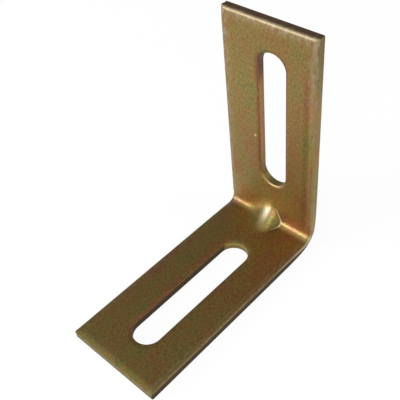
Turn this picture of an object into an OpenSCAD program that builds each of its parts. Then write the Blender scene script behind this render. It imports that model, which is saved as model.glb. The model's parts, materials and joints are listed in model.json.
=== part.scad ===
// Corner brace: one strip of steel, blanked with two long slots and folded square.
// The base leg lies flat. The wall leg stands at its +Y end and faces -Y.
// The origin is on the underside, at the middle of the base leg.

/* [Strip] */
// Width of the strip
strip_w = 35; // [28:0.5:60]
// Thickness of the sheet
sheet_t = 3; // [2:0.1:4]
// Length of the base leg, from its end to the back of the wall leg
base_leg = 79.5; // [78:0.5:160]
// Height of the wall leg, from the underside to its top
wall_leg = 80.5; // [79:0.5:160]

/* [Bend] */
// Inside radius of the bend
bend_r = 2.5; // [1:0.1:4]
// How far each side of the strip draws in at the outside of the bend
draw_in = 0.8; // [0.3:0.1:1.2]
// Radius of the hollow left in the drawn-in sides
draw_in_r = 40; // [24:1:60]

/* [Slots] */
// Width of each slot
slot_w = 10.2; // [6:0.2:14]
// Length of each slot over its round ends
slot_len = 50.6; // [20:0.2:53]
// Metal left between the base slot and the end of the base leg
base_margin = 10; // [6:0.5:12]
// Metal left between the wall slot and the top of the wall leg
wall_margin = 10; // [6:0.5:12]
// How far the base slot stands off the middle of the strip
base_slot_off = 0.5; // [-2:0.1:2]
// How far the wall slot stands off the middle of the strip
wall_slot_off = 1.3; // [-2:0.1:2]

/* [Stiffening dart] */
// How far the dart's ridge runs up each leg from the inside corner
dart_reach = 10.5; // [8:0.1:11]
// Radius of the dart's round nose, across the ridge
dart_r = 5; // [4:0.1:6]
// Slope of the dart's softer flank, away from the ridge
soft_slope = 31; // [26:1:55]
// Thickness of the metal stretched over the dart
dart_t = 2.4; // [1.8:0.1:3]
// How far the dart stands off the middle of the strip
dart_off = 0.6; // [-3:0.1:3]

/* [Sheared edges] */
// How far in from a sheared edge the inner face starts to roll over
roll_w = 1.4; // [0.8:0.1:2]
// How far the face has dropped where it meets the sheared edge
roll_drop = 0.5; // [0.3:0.05:0.8]
// The same drop at the two ends of the strip, which are cut off with more clearance
end_drop = 0.6; // [0.35:0.05:0.9]
// The same drop at the rim of a slot, which is punched cleaner
rim_drop = 0.3; // [0.15:0.05:0.4]

/* [Hidden] */
$fn = 96;

// How far a cutter runs past the face that it cuts
past = 1;

// The heel, where the two outer faces would meet in a sharp corner
heel_y = base_leg / 2;
bend_out_r = bend_r + sheet_t;

// A rolled edge keeps its proportion of width to drop, and leaves the face at this angle
roll_shape = roll_w / roll_drop;
roll_start = 5;

// The hollow in each side ends at this depth in the sheet, short of the inner face
draw_in_depth = 0.75 * sheet_t;
ball_out = draw_in_r * draw_in / draw_in_depth - draw_in_depth / 2;
ball_sink = draw_in + pow(ball_out, 2) / (2 * draw_in_r);

// The dart's ridge is an arc about an axis this far from both inner faces,
// and it runs out into them a hair past the point where it would only touch
run_out = 0.15;
ridge_arc_r = dart_reach + run_out;
// Height of the ridge over the line where the inner faces would meet, square to that line
ridge_h = dart_reach * sqrt(2) - ridge_arc_r;
// The dent behind it, measured in the same way from the line where the outer faces would meet
dent_h = ridge_h + sheet_t * sqrt(2) - dart_t;
dent_reach = (dent_h + run_out) / (sqrt(2) - 1);
dent_arc_r = dent_reach + run_out;
dent_r = dart_r - dart_t;
// The flanks leave the round nose from this share of its radius, a hair inside it
flank_share = 0.99;
// The dart is seated this deep in the sheet
dart_seat = 0.1 * sheet_t;

// What is cut from a sharp corner at the origin, where the metal is at -X and -Y.
// Its arc crosses both faces of the corner, and all its other sides stand clear of the metal.
module rolled_corner(drop) {
    width = drop * roll_shape;
    chord_angle = atan2(drop, width);
    arc_r = norm([width, drop]) / (2 * sin(chord_angle - roll_start));
    centre = [-width - arc_r * sin(roll_start), -arc_r * cos(roll_start)];
    difference() {
        translate([centre[0], -drop - past]) square([past - centre[0], drop + 2 * past]);
        translate(centre) circle(r = arc_r);
    }
}

// Section of the strip: the outer face on the X axis, the inner face up, with rolled edges
module strip_section() {
    difference() {
        translate([-strip_w / 2, 0]) square([strip_w, sheet_t]);
        for (side = [0, 1]) mirror([side, 0])
            translate([strip_w / 2, sheet_t]) rolled_corner(roll_drop);
    }
}

// A leg without its slot, inner face up, from the end of the bend to its own end at -Y
module plain_leg(length) {
    difference() {
        translate([0, -bend_out_r, 0]) rotate([90, 0, 0])
            linear_extrude(length - bend_out_r) strip_section();
        translate([-strip_w / 2 - past, -length, sheet_t]) rotate([90, 0, 90])
            linear_extrude(strip_w + 2 * past) mirror([1, 0]) rolled_corner(end_drop);
    }
}

// What is punched from a leg: a slot along Y, centred on the origin, with its rim rolled over
module slot_punch() {
    end_r = slot_w / 2;
    half_run = slot_len / 2 - end_r;
    translate([-end_r, -half_run, -past]) cube([slot_w, 2 * half_run, sheet_t + 2 * past]);
    for (side = [0, 1]) mirror([side, 0, 0])
        translate([end_r, half_run, sheet_t]) rotate([90, 0, 0])
            linear_extrude(2 * half_run) mirror([1, 0]) rolled_corner(rim_drop);
    for (end = [0, 1]) mirror([0, end, 0]) translate([0, half_run, 0]) {
        translate([0, 0, -past]) cylinder(h = sheet_t + 2 * past, r = end_r);
        translate([0, 0, sheet_t]) rotate_extrude(angle = 180)
            translate([end_r, 0]) mirror([1, 0]) rolled_corner(rim_drop);
    }
}

// A finished leg as it lies flat, with the heel at the origin and its end at Y = -length
module leg(length, margin, slot_off) {
    difference() {
        plain_leg(length);
        translate([slot_off, margin + slot_len / 2 - length, 0]) slot_punch();
    }
}

// The quarter turn between the legs, about the bend's axis
module bend() {
    translate([0, -bend_out_r, bend_out_r]) rotate([90, 0, 90]) rotate([0, 0, -90])
        rotate_extrude(angle = 90) translate([bend_out_r, 0]) rotate(90) strip_section();
}

// The shallow hollow that folding leaves in the sides of the strip, outside the bend
module drawn_in_sides() {
    crown = bend_out_r * (1 - 1 / sqrt(2)) - ball_out / sqrt(2);
    for (side = [0, 1]) mirror([side, 0, 0])
        translate([strip_w / 2 + draw_in_r - ball_sink, -crown, crown]) sphere(r = draw_in_r);
}

// Section of the punch's mark, with the punch's nose at the left on the Y axis:
// a round nose, a steep side towards +Y and a flank of soft_slope towards -Y
module nose_section(nose_r, deep) {
    side_r = flank_share * nose_r;
    soft = [nose_r - side_r * cos(soft_slope), -side_r * sin(soft_slope)];
    flank_run = (deep - soft[0]) / tan(soft_slope);
    translate([nose_r, 0]) circle(r = nose_r);
    polygon([soft, [deep, soft[1] - flank_run], [deep, side_r], [nose_r, side_r], [nose_r, 0]]);
}

// The punch's mark swept through the bend, about an axis at the given distance from two faces
// that stand square to each other; the heel of those faces is at the given depth in the sheet
module swept_nose(reach, arc_r, nose_r, depth) {
    deep = (reach + 2 * sheet_t) * sqrt(2) - arc_r;
    translate([dart_off, -depth - reach, depth + reach]) rotate([0, 90, 0])
        rotate_extrude(angle = 90) translate([arc_r, 0]) nose_section(nose_r, deep);
}

// The dart as it stands in the inside corner, seated in both legs
module dart() {
    depth = sheet_t - dart_seat;
    run = 2 * dart_reach;
    intersection() {
        swept_nose(dart_reach, ridge_arc_r, dart_r, sheet_t);
        translate([-strip_w / 2, -run, depth]) cube([strip_w, run - depth, run]);
    }
}

// The whole strip, folded and pressed
module bracket() {
    color("darkgoldenrod") translate([0, heel_y, 0]) difference() {
        union() {
            leg(base_leg, base_margin, base_slot_off);
            mirror([0, 1, 1]) leg(wall_leg, wall_margin, wall_slot_off);
            bend();
            dart();
        }
        drawn_in_sides();
        swept_nose(dent_reach, dent_arc_r, dent_r, 0);
    }
}

bracket();
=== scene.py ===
import json
import math

import bmesh
import bpy
import numpy as np
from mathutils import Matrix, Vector


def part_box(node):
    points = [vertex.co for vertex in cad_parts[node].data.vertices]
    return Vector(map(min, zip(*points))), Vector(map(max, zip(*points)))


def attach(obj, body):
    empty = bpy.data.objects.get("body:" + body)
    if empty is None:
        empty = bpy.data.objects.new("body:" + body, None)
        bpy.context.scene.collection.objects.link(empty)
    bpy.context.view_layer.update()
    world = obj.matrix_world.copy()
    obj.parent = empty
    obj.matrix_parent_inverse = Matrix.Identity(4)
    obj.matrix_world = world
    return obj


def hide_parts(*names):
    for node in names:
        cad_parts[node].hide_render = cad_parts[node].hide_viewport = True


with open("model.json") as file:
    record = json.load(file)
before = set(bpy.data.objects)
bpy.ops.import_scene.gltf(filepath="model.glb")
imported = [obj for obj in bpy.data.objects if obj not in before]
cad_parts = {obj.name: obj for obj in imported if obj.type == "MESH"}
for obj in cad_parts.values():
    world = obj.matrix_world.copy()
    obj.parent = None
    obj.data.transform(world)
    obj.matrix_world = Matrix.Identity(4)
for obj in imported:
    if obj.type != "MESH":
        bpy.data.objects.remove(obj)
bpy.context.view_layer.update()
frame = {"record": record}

# The bracket is one strip of 3 mm steel, sheared to length, punched with two long slots and folded
# square, with a dart pressed through the bend to stiffen it. Every cut was made from the inner face,
# so that face rolls over at its edges, and below the roll a cut is smooth and then torn.

# Sizes in millimetres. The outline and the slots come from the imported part.
MM = 0.001
low, high = (np.array(corner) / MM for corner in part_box("bracket"))
half_w = (high[0] - low[0]) / 2
heel_y = high[1]
sheet_t = 3.0
bend_r = 2.5
bend_y = heel_y - sheet_t - bend_r
bend_z = low[2] + sheet_t + bend_r

# A point of the strip is told by how far across it lies, how far along, and how deep in the sheet.
# Along is counted from where the bend starts on the base leg, and deep from the inner face.
bend_arc = math.pi / 2 * (bend_r + sheet_t / 2)
base_end = low[1] - bend_y
wall_end = bend_arc + high[2] - bend_z


def fold(strip):
    """Folds strip coordinates into the bracket's own."""
    across, along, deep = strip.T
    turn = np.clip(along / bend_arc, 0, 1) * math.pi / 2
    y = bend_y + np.minimum(along, 0) + (bend_r + deep) * np.sin(turn)
    z = bend_z + np.maximum(along - bend_arc, 0) - (bend_r + deep) * np.cos(turn)
    return np.column_stack([across, y, z])


def smooth_step(value, start, end):
    """Goes softly from 0 at the start to 1 at the end, which may be the smaller of the two."""
    share = np.clip((value - start) / (end - start), 0, 1)
    return share * share * (3 - 2 * share)


def band(value, middle, reach, full):
    """1 out to full from the middle of a band, and softly down to 0 at its reach."""
    return smooth_step(np.abs(value - middle), reach, full)


def smooth_min(a, b, blend):
    """The smaller of two values, rounded over where they are within a blend of each other."""
    return np.minimum(a, b) - np.maximum(blend - np.abs(a - b), 0) ** 2 / (4 * blend)


# The slots lie where the mounts say. A run is half the straight part of a slot's side.
slots = {}
for mount in frame["record"]["mounts"]:
    if mount["kind"] == "bolt_pattern":
        x, y, z = np.array(mount["pos_m"]) / MM
        on_base = abs(mount["axis"][2]) > 0.5
        slots[mount["name"]] = {
            "middle": np.array([x, y - bend_y if on_base else bend_arc + z - bend_z]),
            "end_r": mount["dims"]["hole_r_mm"],
            "run": mount["dims"]["slot_length_mm"] / 2 - mount["dims"]["hole_r_mm"],
            "leg_end": base_end if on_base else wall_end,
        }

# The edges: width and drop of the roll, and how steep it is where it starts and where it meets the
# cut. At the end of the base leg and round its slot it is close to a flat bevel. The foot is the
# small round that a cut leaves at the outer face. The strip's free corners are barely rounded.
rolls = {"side": (1.8, 0.5, 0, 70), "base_end": (1.9, 0.47, 8, 20), "wall_end": (1.15, 0.85, 0, 79),
         "base_slot": (2.0, 0.32, 3, 25), "wall_slot": (1.25, 0.42, 0, 72)}
roll_steps = 7
foot_w = 0.8
corner_r = 0.45


def roll_at(kind, step):
    """Width still to go and drop so far, at a step of a roll."""
    width, drop, first, last = rolls[kind]
    turn = math.radians(first + (last - first) * step / roll_steps)
    first, last = math.radians(first), math.radians(last)
    return (width * (math.sin(last) - math.sin(turn)) / (math.sin(last) - math.sin(first)),
            drop * (math.cos(first) - math.cos(turn)) / (math.cos(first) - math.cos(last)))


# The grid that covers the bend, closer where the dart is, and closest along its sharp side
bend_from = -10.5
bend_to = bend_arc + 10.5
grid_across = np.concatenate([
    np.linspace(-1, -0.58, 9)[:-1], np.linspace(-0.58, 0.16, 34)[:-1],
    np.linspace(0.16, 0.41, 26)[:-1], np.linspace(0.41, 1, 14)])
grid_along = np.linspace(bend_from, bend_to, 92)
side_steps = 66
end_steps = 56
corner_steps = 5
ring_steps = 14


def leg_outline(side_in, end_in, leg_end, bend_side):
    """Outline of a leg in strip coordinates, drawn in by the given widths: the side at the bend, then
    round the leg's free end and back."""
    toward = math.copysign(1, leg_end - bend_side)
    x = half_w - side_in
    end = leg_end - toward * end_in
    straight = np.linspace(bend_side, leg_end - toward * 2.6, side_steps + 1)[1:]
    turn = np.linspace(0, math.pi / 2, corner_steps + 1)
    arc = np.column_stack([x - corner_r * (1 - np.cos(turn)), end - toward * corner_r * (1 - np.sin(turn))])
    across_end = np.linspace(1, -1, end_steps + 1)[1:-1] * (x - corner_r)
    right = np.vstack([np.column_stack([np.full(side_steps, x), straight]), arc])
    return np.vstack([
        np.column_stack([grid_across * x, np.full(len(grid_across), bend_side)]),
        right, np.column_stack([across_end, np.full(len(across_end), end)]),
        right[::-1] * [-1, 1]])


def whole_loop(base, wall, rows):
    """Puts together what goes round the whole strip from what goes round the two legs and the bend."""
    corner = len(grid_across) - 1
    return np.concatenate([
        base[corner:], base[:1], rows[1:-1, 0], wall[:1], wall[:corner - 1:-1], rows[-2:0:-1, -1]])


def strip_outline(side_in, base_end_in, wall_end_in):
    """Outline of the whole strip in strip coordinates, drawn in by the given widths."""
    x = half_w - side_in
    rows = np.stack([np.column_stack([grid_across * x, np.full(len(grid_across), t)]) for t in grid_along])
    return whole_loop(leg_outline(side_in, base_end_in, base_end, bend_from),
                      leg_outline(side_in, wall_end_in, wall_end, bend_to), rows)


def slot_rim(slot, out):
    """Points round a slot, drawn out from its edge, each opposite a point of its leg's outline."""
    bend_side = bend_from if slot["leg_end"] < 0 else bend_to
    outline = leg_outline(0, 0, slot["leg_end"], bend_side)
    centre = np.column_stack([
        np.full(len(outline), slot["middle"][0]),
        np.clip(outline[:, 1], slot["middle"][1] - slot["run"], slot["middle"][1] + slot["run"])])
    ray = outline - centre
    ray /= np.linalg.norm(ray, axis=1)[:, None]
    return centre + ray * (slot["end_r"] + out)


strip = []
quads = []


def add(points, deep):
    """Adds points of the strip and gives back their numbers."""
    start = len(strip)
    deep = np.broadcast_to(deep, len(points))
    strip.extend(np.column_stack([points, deep]))
    return np.arange(start, len(strip))


def stitch(one, other, closed=True):
    """Joins two rows of points by quads."""
    last = len(one) if closed else len(one) - 1
    for i in range(last):
        j = (i + 1) % len(one)
        quads.append((one[i], one[j], other[j], other[i]))


def lay_face(side_in, end_in, rim_out, deep):
    """Covers one face of the strip: rings between each slot and its leg's outline, and a grid over the
    bend. Gives back the numbers round the strip and round each slot."""
    outlines, rims = {}, {}
    for name, slot in slots.items():
        bend_side = bend_from if slot["leg_end"] < 0 else bend_to
        outline = leg_outline(side_in, end_in[slot["leg_end"]], slot["leg_end"], bend_side)
        rim = slot_rim(slot, rim_out[name])
        rings = [add(rim + (outline - rim) * share, deep) for share in np.linspace(0, 1, ring_steps + 1)]
        for inner, outer in zip(rings, rings[1:]):
            stitch(inner, outer)
        rims[name] = rings[0]
        outlines[slot["leg_end"]] = rings[-1]
    columns = len(grid_across)
    x = half_w - side_in
    rows = [outlines[base_end][:columns]]
    for t in grid_along[1:-1]:
        rows.append(add(np.column_stack([grid_across * x, np.full(columns, t)]), deep))
    rows.append(outlines[wall_end][:columns])
    for one, other in zip(rows, rows[1:]):
        stitch(one, other, closed=False)
    return whole_loop(outlines[base_end], outlines[wall_end], np.array(rows)), rims


# The two faces, then the cut edges between them: the steps of the roll, and below it rows told by
# their share of the depth that is left and by how far they are drawn in
inner_loop, inner_rims = lay_face(
    rolls["side"][0], {base_end: rolls["base_end"][0], wall_end: rolls["wall_end"][0]},
    {name: rolls[name][0] for name in slots}, 0)
outer_loop, outer_rims = lay_face(
    foot_w, {base_end: foot_w, wall_end: foot_w}, {name: foot_w for name in slots}, sheet_t)
cut_rows = ((0.06, 0.00), (0.16, 0.00), (0.30, 0.01), (0.38, 0.05), (0.50, 0.06), (0.62, 0.06),
            (0.75, 0.05), (0.87, 0.05), (0.95, 0.08), (0.99, 0.16), (1.0, 0.30))

flat = strip_outline(0, 0, 0)
near_base_end = smooth_step(np.abs(flat[:, 1] - base_end), 1.2, 0.2)
near_wall_end = smooth_step(np.abs(flat[:, 1] - wall_end), 1.2, 0.2)


def by_edge(side, at_base_end, at_wall_end):
    """A value round the strip that changes from its sides to its two ends."""
    return side + (at_base_end - side) * near_base_end + (at_wall_end - side) * near_wall_end


loop = inner_loop
for step in range(1, roll_steps + 1):
    (side_w, side_d), (base_w, base_d), (wall_w, wall_d) = (
        roll_at(kind, step) for kind in ("side", "base_end", "wall_end"))
    row = add(strip_outline(side_w, base_w, wall_w), by_edge(side_d, base_d, wall_d))
    stitch(loop, row)
    loop = row
bottom_of_roll = by_edge(side_d, base_d, wall_d)
sharp = set(row[near_base_end > 0.5].tolist())
for below, drawn in cut_rows:
    row = add(strip_outline(drawn, drawn, drawn), bottom_of_roll + (sheet_t - bottom_of_roll) * below)
    stitch(loop, row)
    loop = row
stitch(loop, outer_loop)

for name, slot in slots.items():
    loop = inner_rims[name]
    for step in range(1, roll_steps + 1):
        width, drop = roll_at(name, step)
        row = add(slot_rim(slot, width), drop)
        stitch(loop, row)
        loop = row
    if name == "base_slot":
        sharp |= set(loop.tolist())
    for below, drawn in cut_rows:
        row = add(slot_rim(slot, drawn), drop + (sheet_t - drop) * below)
        stitch(loop, row)
        loop = row
    stitch(loop, outer_rims[name])

strip = np.array(strip)

# Folding draws the strip's sides in, most at the outside of the bend
draw_in = 0.85
draw_run = 4.5
past_middle = strip[:, 1] - bend_arc / 2
drawn_in = draw_in * strip[:, 2] / sheet_t / (1 + (past_middle / draw_run) ** 2)
near_side = smooth_step(np.abs(strip[:, 0]), half_w - 5, half_w)
shaped = strip.copy()
shaped[:, 0] -= np.sign(strip[:, 0]) * drawn_in * near_side
points = fold(shaped)

# The dart: a round-nosed punch pushed the bend inwards, so its ridge is an arc that runs out into
# both legs. Its flanks fall away straight, the steeper one to a crease and the other one softly.
dart_at = 0.6
dart_reach = 10.5
dart_t = 2.4
run_out = 0.15
ridge_h = dart_reach * math.sqrt(2) - dart_reach - run_out
dent_reach = (ridge_h + sheet_t * math.sqrt(2) - dart_t + run_out) / (math.sqrt(2) - 1)


def fall(side, nose_r, slope):
    """How far a flank has fallen at a distance from the ridge: round at first, and then straight."""
    slope = math.radians(slope)
    round_part = np.clip(side, 0, nose_r * math.sin(slope))
    return nose_r - np.sqrt(nose_r ** 2 - round_part ** 2) + (side - round_part) * math.tan(slope)


def press(chosen, plane, reach, nose_rs, slopes, blends):
    """Moves points towards the axis of the punch's path until they lie on its nose. The radii of the
    nose, the slopes and the widths of blending are for the steep flank and for the soft one. Gives
    back how far the points moved, and where the crease at the steep flank's foot is."""
    axis = np.array([heel_y - plane - reach, plane + reach])
    ray = points[chosen, 1:] - axis
    past = np.maximum(ray[:, 1], 0) + np.maximum(-ray[:, 0], 0)
    ray = np.column_stack([np.maximum(ray[:, 0], 0), np.minimum(ray[:, 1], 0)])
    distance = np.linalg.norm(ray, axis=1)
    angle = np.degrees(np.arctan2(-ray[:, 1], ray[:, 0]))
    side = points[chosen, 0] - dart_at
    nose = reach + run_out + past ** 2 / 20 - 0.6 * np.sin(np.radians(2 * angle)) ** 2
    for flank, nose_r, slope in zip((side, -side), nose_rs, slopes):
        nose += fall(np.maximum(flank, 0), nose_r, slope)
    blend = blends[0] + (blends[1] - blends[0]) * smooth_step(-side, -3.5, 5)
    move = distance - smooth_min(distance, nose, blend)
    points[chosen, 1:] -= ray / distance[:, None] * move[:, None]
    # A share at the crease, where the material paints a thin highlight line
    highlight_lines = np.exp(-((distance - nose) / 0.2) ** 2) * (side > 2)
    return move, highlight_lines * smooth_step(angle, 12, 34) * smooth_step(90 - angle, 26, 42)


inner = strip[:, 2] < 0.01
outer = strip[:, 2] > sheet_t - 0.01
pressed, highlight_lines = np.zeros((2, len(points)))
pressed[inner], highlight_lines[inner] = press(inner, sheet_t, dart_reach, (3.3, 6.5), (53, 29), (0.3, 2.0))
press(outer, 0, dent_reach, (1.2, 1.2), (42, 30), (1.2, 2.0))

bracket_mesh = bpy.data.meshes.new("bracket_strip")
bracket_mesh.from_pydata([tuple(p * MM) for p in points], [], [tuple(int(i) for i in q) for q in quads])
skin = bmesh.new()
skin.from_mesh(bracket_mesh)
bmesh.ops.recalc_face_normals(skin, faces=skin.faces)
skin.to_mesh(bracket_mesh)
skin.free()
bracket_mesh.shade_smooth()

# The bevels at the end of the base leg and round its slot meet the cuts in a sharp corner
for edge in bracket_mesh.edges:
    edge.use_edge_sharp = sharp.issuperset(edge.vertices)

# The plating's state, and the light and shade painted on it, is worked out for each point and read
# by the material. Across is to the right as the camera sees it, height is up the wall leg, and
# base_y runs along the base leg.
across, along, deep = strip.T
height = along - bend_arc + bend_z
base_y = along + bend_y

# Where the yellow film came out thicker (redder) or thinner (greener): across and height or base_y,
# half widths, and by how much
film_on_wall = (
    (-8, 52, 6, 15, -0.15), (-6, 70, 5, 6, -0.06), (11, 66, 3, 9, -0.08), (-10, 18, 3, 9, -0.12),
    (15, 57, 2.5, 9, 0.22), (16, 22, 2, 18, 0.20), (-12, 10, 4, 4, 0.20), (-7, 31, 4, 10, 0.12),
    (9, 17, 6, 12, 0.10), (4, 77, 9, 4, 0.05), (12, 7, 7, 4, 0.34))
film_on_base = (
    (13, 20, 4, 16, 0.20), (-11, 31, 5, 6, 0.14), (-6, 15, 1.6, 24, 0.12), (-15, 0, 2, 24, 0.12),
    (8, -12, 2, 12, 0.10), (-10, 4, 3, 6, -0.16), (0, -33, 14, 7, -0.06), (-13, 20, 4, 10, -0.05))
patch_strength = 0.7
film = np.zeros(len(strip))
for patches, up_leg in ((film_on_wall, height), (film_on_base, base_y)):
    for middle, middle_up, half_across, half_up, shift in patches:
        off = np.hypot((across - middle) / half_across, (up_leg - middle_up) / half_up)
        film += patch_strength * shift * smooth_step(off, 1.4, 0.2) * (deep < 1)
top_cut = smooth_step(along, wall_end - 0.25, wall_end - 0.1)
film += 0.2 * top_cut
film -= 0.14 * smooth_step(along, base_end + 2.4, base_end + 1.4)
film -= 0.18 * smooth_step(pressed, 0.15, 0.8) * smooth_step(along, 8, 4)

# How rubbed the surface is: along the rolled edges, most at the top of the wall leg, less low on its
# right, at the end of the base leg and along its left, and hardly on the cuts
end_near = np.minimum(np.abs(along - base_end), np.abs(along - wall_end))
to_edge = np.minimum(half_w - np.abs(across), end_near)
low_right = (across > 0) * smooth_step(along, 60, 45)
worn = smooth_step(to_edge, 4.2 - 2.2 * low_right, 0.4)
worn += 0.6 * smooth_step(along, wall_end - 1.5, wall_end - 0.6)
worn *= 1 - 0.8 * smooth_step(along, base_end + 3, base_end + 1.5)
worn *= 1 - 0.8 * smooth_step(deep, 0.4, 1.0)
worn *= 1 - 0.5 * low_right
worn *= 1 - 0.7 * (across < -half_w / 2) * smooth_step(along, 0, -4)

# Polish and painted highlight: the steel is burnished, and paled into a painted highlight, along the
# dart's ridge, the bend to the right of it and the wall leg's top roll
ridge = band(across, dart_at - 0.9, 2.9, 0.8) * smooth_step(pressed, 0.3, 2.0)
ridge *= 0.3 + 0.7 * smooth_step(along, 0, 4.5)
in_bend = smooth_step(across, -2, 2) * band(along, bend_arc * 0.66, 1.8, 0.6) * (deep < 1)
top_roll = band(along, wall_end - 0.6, 0.6, 0.2) * (deep < 0.9)
polish_and_highlight = np.maximum.reduce([ridge, 0.12 * in_bend, 0.75 * top_roll])

# Painted highlights in thin bright lines: along the crease, along the edge of the right-hand roll,
# where the line is clearest round the bend, and a trace of one on the top roll
right_roll_highlight = band(deep, 0.45, 0.35, 0.1) * (across > half_w - 1.0) * smooth_step(along, 8, 3)
right_roll_highlight *= 0.12 + 0.38 * smooth_step(along, -20, -4)
highlight_lines = np.maximum.reduce([highlight_lines, right_roll_highlight, 0.06 * top_roll])

# Painted light and shade on the plating, beside its own mean: painted light low on the wall leg, on
# its right-hand roll and on the dart's steep flank, and painted shade high on the wall leg, beside
# that roll and left of the dart
painted_light_and_shade = 1 + 0.22 * smooth_step(along, 22, 9) * (along > 0)
painted_light_and_shade *= 1 - 0.14 * smooth_step(along, 55, 80)
wall_side = smooth_step(along, 4, 12) * smooth_step(along, 76, 60)
painted_light_and_shade *= 1 - 0.17 * wall_side * band(across, half_w - 3.5, 1.1, 0.3)
painted_light_and_shade *= 1 + 0.24 * wall_side * smooth_step(across, half_w - 2.3, half_w - 1.8)
painted_light_and_shade *= 1 + 0.5 * band(across, 3, 1.8, 0.8) * smooth_step(pressed, 0.4, 1.2)
painted_light_and_shade *= 1 - 0.22 * smooth_step(across, -1, -4) * band(along, bend_arc / 2, 4, 2)

# Grime on the torn part of each cut, painted shade on the right-hand cut of the base leg and of the
# bend, and a little darkening on the wall leg's top cut
torn = smooth_step(deep, 1.15, 1.4) * smooth_step(sheet_t - deep, 0, 0.3)
right_cut = smooth_step(across, half_w - 0.5, half_w - 0.2) * smooth_step(deep, 0.3, 0.6)
grime_and_shade = np.maximum.reduce([
    0.35 * torn * (1 - right_cut),
    0.85 * right_cut * smooth_step(along, -1, -9),
    0.9 * right_cut * smooth_step(deep, 0.8, 1.4) * smooth_step(along, 7, 1),
    0.32 * top_cut])

# The slots have tones of their own, with painted light and shade on them. The base slot is reddish
# down its left, with painted light on its left roll and painted shade on its left cut, and olive with
# painted light at the end by the bend. The wall slot is reddish down its left, with painted light on
# its cut there and by the bend, a painted highlight on its rim by the bend, painted shade on its
# right rim, and a dark stain high up.
for name, slot in slots.items():
    from_run = strip[:, :2] - slot["middle"]
    from_run[:, 1] -= np.clip(from_run[:, 1], -slot["run"], slot["run"])
    distance = np.linalg.norm(from_run, axis=1)
    facing = from_run / distance[:, None]
    past_rim = distance - slot["end_r"]
    left = smooth_step(facing[:, 0], -0.3, -0.9)
    on_leg = along * slot["leg_end"] > 0
    cut = ((past_rim < 0.4) & (deep > rolls[name][1] + 0.01) & on_leg).astype(float)
    face = (1 - cut) * (deep < 0.5) * on_leg
    if name == "base_slot":
        roll = face * smooth_step(past_rim, 2.6, 0.7)
        turned = smooth_step(facing[:, 1], 0.05, 0.5)
        # Painted shade down the left cut
        grime_and_shade = np.maximum(grime_and_shade, 0.9 * left * cut * (1 - turned))
        turned *= np.maximum(cut, 0.8 * roll * smooth_step(past_rim, 1.0, 0.6))
        film += 0.2 * left * (roll + cut) * (1 - turned) - 0.16 * turned
        # Painted light on the left roll and at the end by the bend
        painted_light_and_shade *= 1 + 0.14 * left * roll + 0.45 * turned
    else:
        roll = face * smooth_step(past_rim, 1.7, 0.7)
        right = face * smooth_step(facing[:, 0], 0.3, 0.9) * smooth_step(past_rim, 0.9, 0.5)
        by_bend = smooth_step(facing[:, 1], -0.3, -0.9)
        red = smooth_step(height, 22, 34) * smooth_step(height, 64, 56)
        stain = smooth_step(height, 56, 64)
        film += left * (roll + cut) * (0.06 + 0.12 * red + 0.2 * stain) - 0.22 * by_bend * cut
        film += 0.3 * right
        grime_and_shade *= 1 - 0.8 * cut
        grime_and_shade = np.maximum(grime_and_shade, 0.42 * left * stain * np.maximum(0.5 * roll, cut))
        # Painted light on the cut down the left and by the bend, and painted shade on the right rim
        painted_light_and_shade *= 1 + 0.45 * left * red * cut + 0.25 * by_bend * cut
        painted_light_and_shade *= 1 - 0.15 * right
        # A painted highlight on the rim by the bend
        highlight_lines = np.maximum(highlight_lines, 0.14 * by_bend * roll * smooth_step(deep, 0.05, 0.15))

for name, vectors in (("strip_place", strip), ("strip_state", np.column_stack([film, worn, grime_and_shade]))):
    stored = bracket_mesh.attributes.new(name, "FLOAT_VECTOR", "POINT")
    stored.data.foreach_set("vector", vectors.astype(np.float32).ravel())
for name, shares in (("strip_polish", polish_and_highlight), ("strip_crease", highlight_lines), ("strip_lightness", painted_light_and_shade)):
    stored = bracket_mesh.attributes.new(name, "FLOAT", "POINT")
    stored.data.foreach_set("value", shares.astype(np.float32))

# Zinc under a yellow passivation film. The film's colour runs with its thickness, from olive green
# through yellow to red and mauve, in clouds, blotches and streaks drawn along the strip.
plated = bpy.data.materials.new("yellow_passivated_zinc")
plated.use_nodes = True
tree = plated.node_tree
shader = tree.nodes["Principled BSDF"]


def node(kind, **settings):
    made = tree.nodes.new("ShaderNode" + kind)
    for name, value in settings.items():
        setattr(made, name, value)
    return made


def wire(source, target):
    tree.links.new(source, target)


def maths(operation, first, second=None, third=None):
    made = node("Math", operation=operation)
    for slot_in, value in zip(made.inputs, (first, second, third)):
        if isinstance(value, (int, float)):
            slot_in.default_value = value
        elif value is not None:
            wire(value, slot_in)
    return made.outputs[0]


def grain(stretch, scale, detail, roughness):
    """Noise in strip coordinates: the smaller a share of the stretch, the longer the noise runs."""
    scaled = node("Mapping")
    wire(where.outputs["Vector"], scaled.inputs["Vector"])
    scaled.inputs["Scale"].default_value = stretch
    made = node("TexNoise")
    wire(scaled.outputs[0], made.inputs["Vector"])
    made.inputs["Scale"].default_value = scale
    made.inputs["Detail"].default_value = detail
    made.inputs["Roughness"].default_value = roughness
    return made.outputs["Fac"]


def blend(mode, share, first, second):
    made = node("Mix", data_type="RGBA", blend_type=mode)
    for slot_in, value in ((made.inputs[0], share), (made.inputs[6], first), (made.inputs[7], second)):
        if isinstance(value, (int, float, tuple)):
            slot_in.default_value = value
        else:
            wire(value, slot_in)
    return made.outputs[2]


def spread(value, from_low, from_high, to_low=0.0, to_high=1.0):
    """Spreads what lies between two values over two others, and clips the rest."""
    made = node("MapRange")
    wire(value, made.inputs["Value"])
    ends = (from_low, from_high, to_low, to_high)
    for name, number in zip(("From Min", "From Max", "To Min", "To Max"), ends):
        made.inputs[name].default_value = number
    return made.outputs[0]


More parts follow.
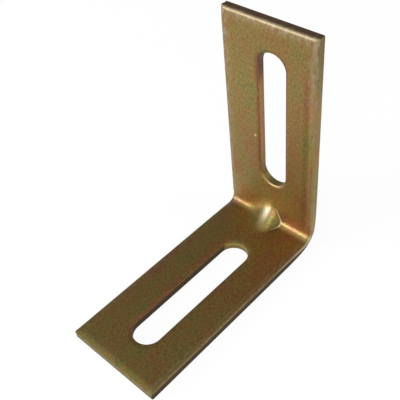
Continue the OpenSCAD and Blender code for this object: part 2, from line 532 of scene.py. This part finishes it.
where = node("Attribute", attribute_name="strip_place")
places = node("SeparateXYZ")
wire(where.outputs["Vector"], places.inputs[0])
state_at = node("Attribute", attribute_name="strip_state")
states = node("SeparateXYZ")
wire(state_at.outputs["Vector"], states.inputs[0])
film_shift, worn_here, grime_and_shade_here = states.outputs
polish_and_highlight_here, highlight_lines_here, painted_light_and_shade_here = (
    node("Attribute", attribute_name=name).outputs["Fac"]
    for name in ("strip_polish", "strip_crease", "strip_lightness"))

clouds = grain((1, 0.5, 6), 0.16, 4, 0.55)
blotches = grain((1, 0.6, 4), 0.55, 4, 0.65)
streaks = grain((1, 0.15, 4), 2.0, 3, 0.65)
thickness = maths("MULTIPLY_ADD", clouds, 1.0, film_shift)
thickness = maths("MULTIPLY_ADD", blotches, 0.7, thickness)
thickness = maths("MULTIPLY_ADD", streaks, 0.6, thickness)
hues = node("ValToRGB")
wire(maths("ADD", thickness, -0.65), hues.inputs[0])
stops = hues.color_ramp.elements
stops[0].position, stops[0].color = 0.16, (0.215, 0.206, 0.060, 1)
stops[1].position, stops[1].color = 0.88, (0.300, 0.160, 0.130, 1)
for position, colour in ((0.36, (0.287, 0.217, 0.060, 1)), (0.50, (0.316, 0.206, 0.058, 1)),
                         (0.62, (0.330, 0.180, 0.056, 1)), (0.74, (0.345, 0.153, 0.064, 1))):
    stops.new(position).color = colour

fine = grain((1, 0.5, 2), 1.8, 4, 0.72)
# The tone is scaled by the painted light and shade, and by a fine grain of random tone
tone = node("VectorMath", operation="SCALE")
wire(hues.outputs[0], tone.inputs[0])
wire(maths("MULTIPLY", painted_light_and_shade_here, spread(fine, 0.25, 0.75, 0.51, 1.49)), tone.inputs["Scale"])

# Pale zinc shows through where the film is rubbed off the edges and in flecks that are most to the
# left. The same pale colour is a painted highlight in the line where the right-hand roll starts, and
# where the steel is burnished it is polish and painted highlight together.
pale_zinc_and_highlight = (0.40, 0.335, 0.225, 1)
rubbed = maths("MULTIPLY", worn_here, spread(grain((1, 0.5, 1), 0.7, 3, 0.6), 0.42, 0.60, 0.12, 1.0))
flecks = spread(grain((1, 0.6, 1), 2.4, 2, 0.5), 0.63, 0.70)
flecks = maths("MULTIPLY", flecks, spread(places.outputs[0], -6, -13, 0.2, 0.7))
roll_start_highlight = spread(maths("ABSOLUTE", maths("ADD", places.outputs[0], 1.65 - half_w)), 0.1, 0.38, 1, 0)
roll_start_highlight = maths("MULTIPLY", roll_start_highlight, spread(blotches, 0.35, 0.6))
wear_and_highlight = maths("MAXIMUM", maths("MULTIPLY", rubbed, 0.8), flecks)
wear_and_highlight = maths("MAXIMUM", wear_and_highlight, maths("MULTIPLY", roll_start_highlight, 0.6))
wear_and_highlight = maths("MAXIMUM", wear_and_highlight, maths("MULTIPLY", polish_and_highlight_here, 0.9))
tone = blend("MIX", wear_and_highlight, tone.outputs[0], pale_zinc_and_highlight)

# A painted highlight shines in the crease and the other thin bright lines, bare metal shines in a
# small nick beside the wall slot, and grime and painted shade darken where their share is laid
highlight_and_bare_metal = (0.98, 0.85, 0.50, 1)
grime_and_shade_colour = (0.075, 0.055, 0.040, 1)
nick_across, nick_height = -5.6, 38
nick = node("VectorMath", operation="DISTANCE")
wire(where.outputs["Vector"], nick.inputs[0])
nick.inputs[1].default_value = (nick_across, nick_height + bend_arc - bend_z, 0)
highlight_and_nick = maths("MAXIMUM", highlight_lines_here, spread(nick.outputs["Value"], 0.25, 0.6, 0.6, 0))
tone = blend("MIX", highlight_and_nick, tone, highlight_and_bare_metal)
tone = blend("MIX", grime_and_shade_here, tone, grime_and_shade_colour)
wire(tone, shader.inputs["Base Color"])
shader.inputs["Metallic"].default_value = 1.0
rough = maths("MULTIPLY_ADD", blotches, 0.16, 0.41)
rough = maths("MULTIPLY_ADD", grime_and_shade_here, 0.2, rough)
rough = maths("MULTIPLY_ADD", worn_here, 0.08, rough)
wire(maths("MULTIPLY_ADD", polish_and_highlight_here, -0.04, rough), shader.inputs["Roughness"])
wire(maths("MULTIPLY_ADD", grime_and_shade_here, -0.25, 0.25), shader.inputs["Coat Weight"])
shader.inputs["Coat Roughness"].default_value = 0.3

bumps = node("Bump")
bumps.inputs["Strength"].default_value = 0.5
bumps.inputs["Distance"].default_value = 0.00009
wire(fine, bumps.inputs["Height"])
wire(bumps.outputs[0], shader.inputs["Normal"])
bracket_mesh.materials.append(plated)

bracket = bpy.data.objects.new("folded_strip", bracket_mesh)
bpy.context.scene.collection.objects.link(bracket)
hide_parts("bracket")
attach(bracket, "root")

# The floor is a plain white sheet. The camera sees it white, the metal sees it paler than it is, and
# it keeps the bracket's shadow.
bpy.ops.mesh.primitive_plane_add(size=4)
floor = bpy.context.object
floor.name = "floor"
paper = bpy.data.materials.new("white_paper")
paper.use_nodes = True
tree = paper.node_tree
tree.nodes.clear()
out = tree.nodes.new("ShaderNodeOutputMaterial")
matte = tree.nodes.new("ShaderNodeBsdfDiffuse")
matte.inputs["Color"].default_value = (0.8, 0.8, 0.8, 1)
glow = tree.nodes.new("ShaderNodeEmission")
seen = tree.nodes.new("ShaderNodeMixShader")
path = tree.nodes.new("ShaderNodeLightPath")
glow.inputs["Strength"].default_value = 1.08
parts = []
for ray, share in (("Is Camera Ray", 0.86), ("Is Glossy Ray", 0.44)):
    part = tree.nodes.new("ShaderNodeMath")
    part.operation = "MULTIPLY"
    part.inputs[1].default_value = share
    tree.links.new(path.outputs[ray], part.inputs[0])
    parts.append(part)
both = tree.nodes.new("ShaderNodeMath")
both.operation = "MAXIMUM"
tree.links.new(parts[0].outputs[0], both.inputs[0])
tree.links.new(parts[1].outputs[0], both.inputs[1])
tree.links.new(both.outputs[0], seen.inputs[0])
tree.links.new(matte.outputs[0], seen.inputs[1])
tree.links.new(glow.outputs[0], seen.inputs[2])
tree.links.new(seen.outputs[0], out.inputs[0])
floor.data.materials.append(paper)

# The room is a plain grey that fills the shadows, and the camera sees it as white as the floor
world = bpy.data.worlds.new("studio")
bpy.context.scene.world = world
world.use_nodes = True
tree = world.node_tree
tree.nodes.clear()
out = tree.nodes.new("ShaderNodeOutputWorld")
room = tree.nodes.new("ShaderNodeBackground")
room.inputs["Color"].default_value = (0.25, 0.25, 0.25, 1)
white = tree.nodes.new("ShaderNodeBackground")
white.inputs["Color"].default_value = (0.98, 0.98, 0.98, 1)
seen = tree.nodes.new("ShaderNodeMixShader")
path = tree.nodes.new("ShaderNodeLightPath")
tree.links.new(path.outputs["Is Camera Ray"], seen.inputs[0])
tree.links.new(room.outputs[0], seen.inputs[1])
tree.links.new(white.outputs[0], seen.inputs[2])
tree.links.new(seen.outputs[0], out.inputs[0])

# The main lamp is a wide flat one, low in front to the left, which draws the bright lines along the
# bend and the dart. Soft ones stand above it, to the right in front, and to the right behind.
for name, place, wide, tall, watts in (
        ("main_left", (-0.46, -0.70, 0.20), 0.60, 0.15, 4.9),
        ("soft_high", (-0.29, -0.38, 0.85), 1.0, 1.0, 1.3),
        ("soft_right", (0.62, -0.75, 0.40), 0.9, 0.9, 3.3),
        ("soft_back_right", (0.75, 0.40, 0.60), 0.7, 0.7, 1.6)):
    light = bpy.data.lights.new(name, "AREA")
    light.shape = "ELLIPSE"
    light.size = wide
    light.size_y = tall
    light.energy = watts
    lamp = bpy.data.objects.new(name, light)
    lamp.location = place
    lamp.rotation_euler = (Vector((0, 0, 0.03)) - Vector(place)).to_track_quat("-Z", "Y").to_euler()
    bpy.context.scene.collection.objects.link(lamp)

# The camera was fitted to the outline of the bracket and of its slots in the photo
camera_data = bpy.data.cameras.new("camera")
camera_data.lens = 60.03
camera_data.shift_x = 0.0045
camera_data.shift_y = 0.0143
camera_data.clip_start = 0.01
camera = bpy.data.objects.new("camera", camera_data)
camera.location = (0.10578, -0.09281, 0.17364)
camera.rotation_euler = [math.radians(a) for a in (45.717, 5.037, 42.907)]
bpy.context.scene.collection.objects.link(camera)
bpy.context.scene.camera = camera
bpy.context.scene.view_settings.view_transform = "Standard"
